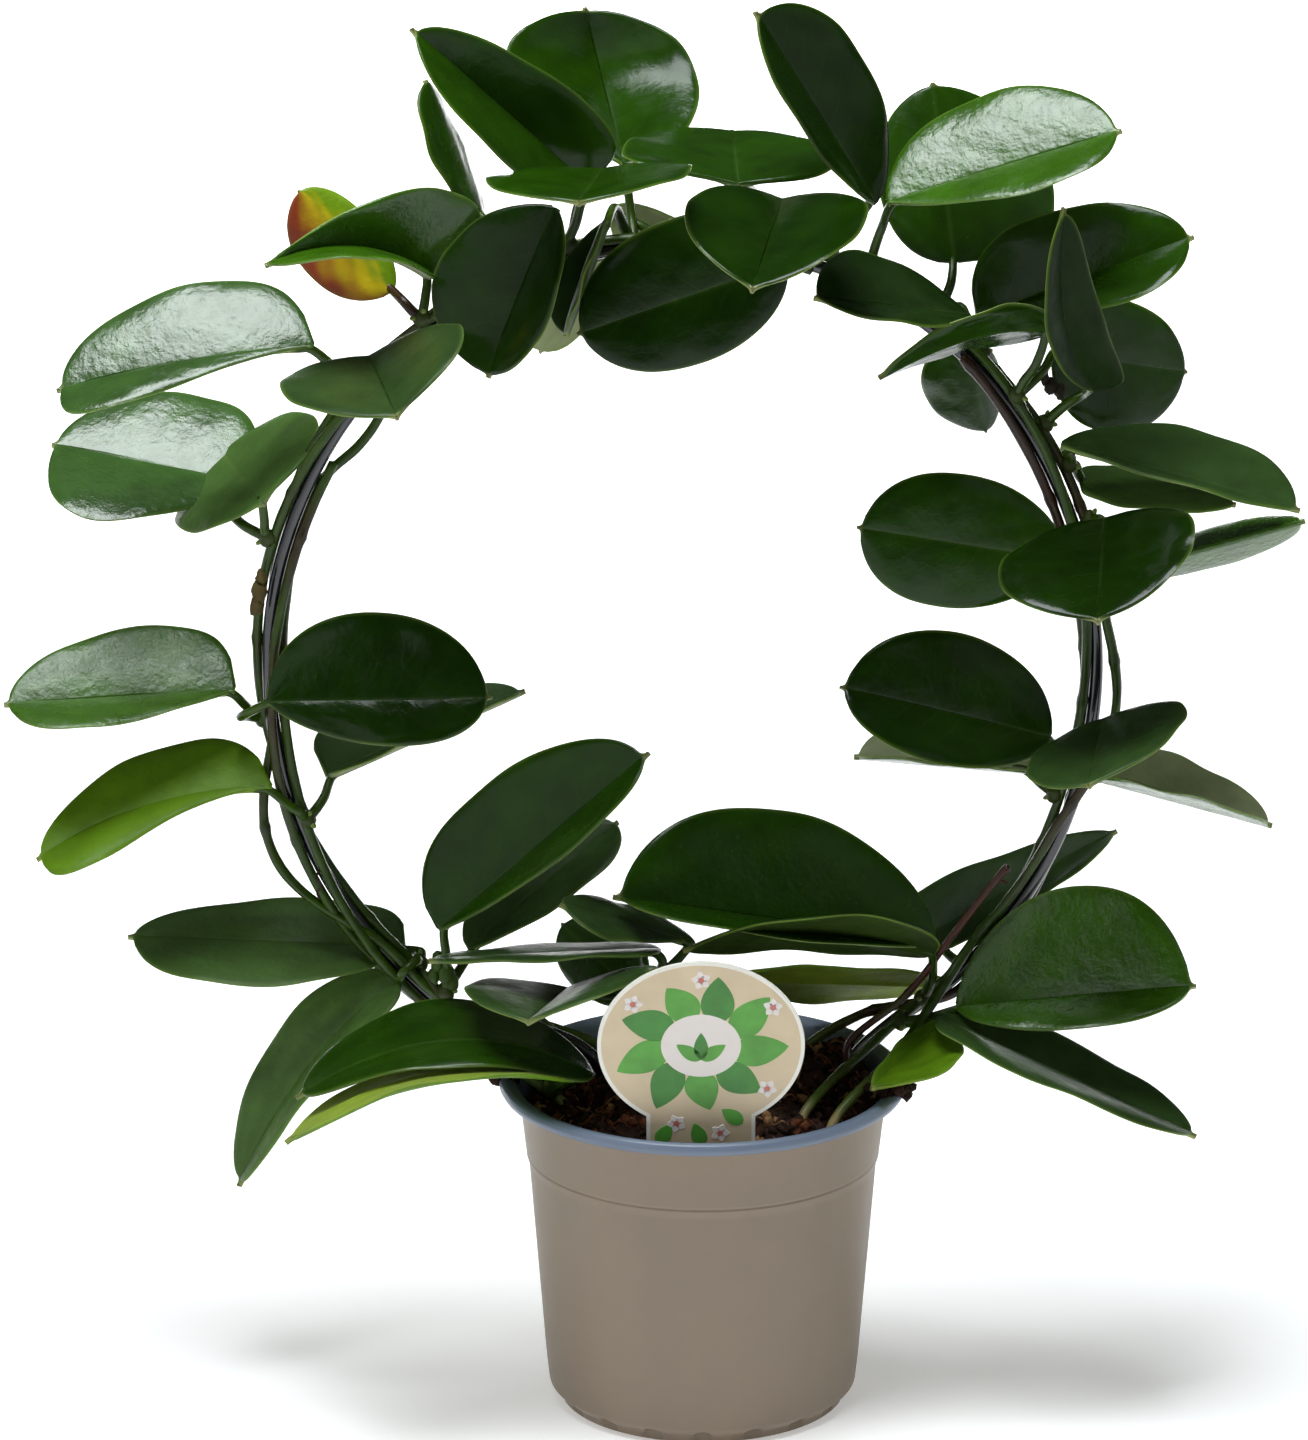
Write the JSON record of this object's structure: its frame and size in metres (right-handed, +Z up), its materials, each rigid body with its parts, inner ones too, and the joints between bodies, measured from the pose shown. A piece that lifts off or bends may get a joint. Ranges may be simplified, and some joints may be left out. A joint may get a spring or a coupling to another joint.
{
  "type": "potted hoya plant",
  "caption": "Trailing wax plant with thick oval leaves, its vines trained round an upright hoop in a round nursery pot of soil, with an oval plant label.",
  "frame": {"origin": "centre of the pot's flat foot, on the surface it stands on", "axes": "+Z up, the label and the front of the hoop face -Y, +X to the right seen from the front"},
  "size_m": [0.3753, 0.1454, 0.4171],
  "materials": {
    "pot": "satin",
    "soil": "rough, damp peat",
    "hoop": "gloss",
    "label": "satin, printed",
    "vine_green": "smooth green bark",
    "vine_brown": "woody bark",
    "dead_stem": "dry",
    "leaf": "waxy gloss"
  },
  "bodies": {
    "root": {"pot": "pot", "soil": "soil", "hoop": "hoop", "label": "label", "vine_left_bowed": "vine_green", "vine_left_long": "vine_brown", "vine_left_back": "vine_brown", "vine_left_thin": "vine_green", "vine_right_green": "vine_green", "vine_right_grey": "vine_green", "vine_right_back": "vine_brown", "stem_middle": "vine_green", "stem_dead": "dead_stem", "leaves_low_front": "leaf", "leaves_low_left": "leaf", "leaves_ring_inner_left": "leaf", "leaves_heart_low": "leaf", "leaves_middle": "leaf", "leaves_left_low": "leaf", "leaves_left_middle": "leaf", "leaves_left_high": "leaf", "leaves_left_shoulder": "leaf", "leaves_yellow": "leaf", "leaves_top_left": "leaf", "leaves_top_dark": "leaf", "leaves_top_broad": "leaf", "leaves_under": "leaf", "leaves_top_middle": "leaf", "leaves_top_heart": "leaf", "leaf_top_glossy": "leaf", "leaves_top_right": "leaf", "leaves_right_shoulder": "leaf", "leaves_right_folded": "leaf", "leaf_right_curled": "leaf", "leaves_right_high": "leaf", "leaf_right_heart": "leaf", "leaves_right_broad": "leaf", "leaves_right_inner": "leaf", "leaves_right_outer": "leaf", "leaves_low_right": "leaf", "leaves_right_back": "leaf", "leaves_right_low": "leaf"}
  },
  "joints": []
}
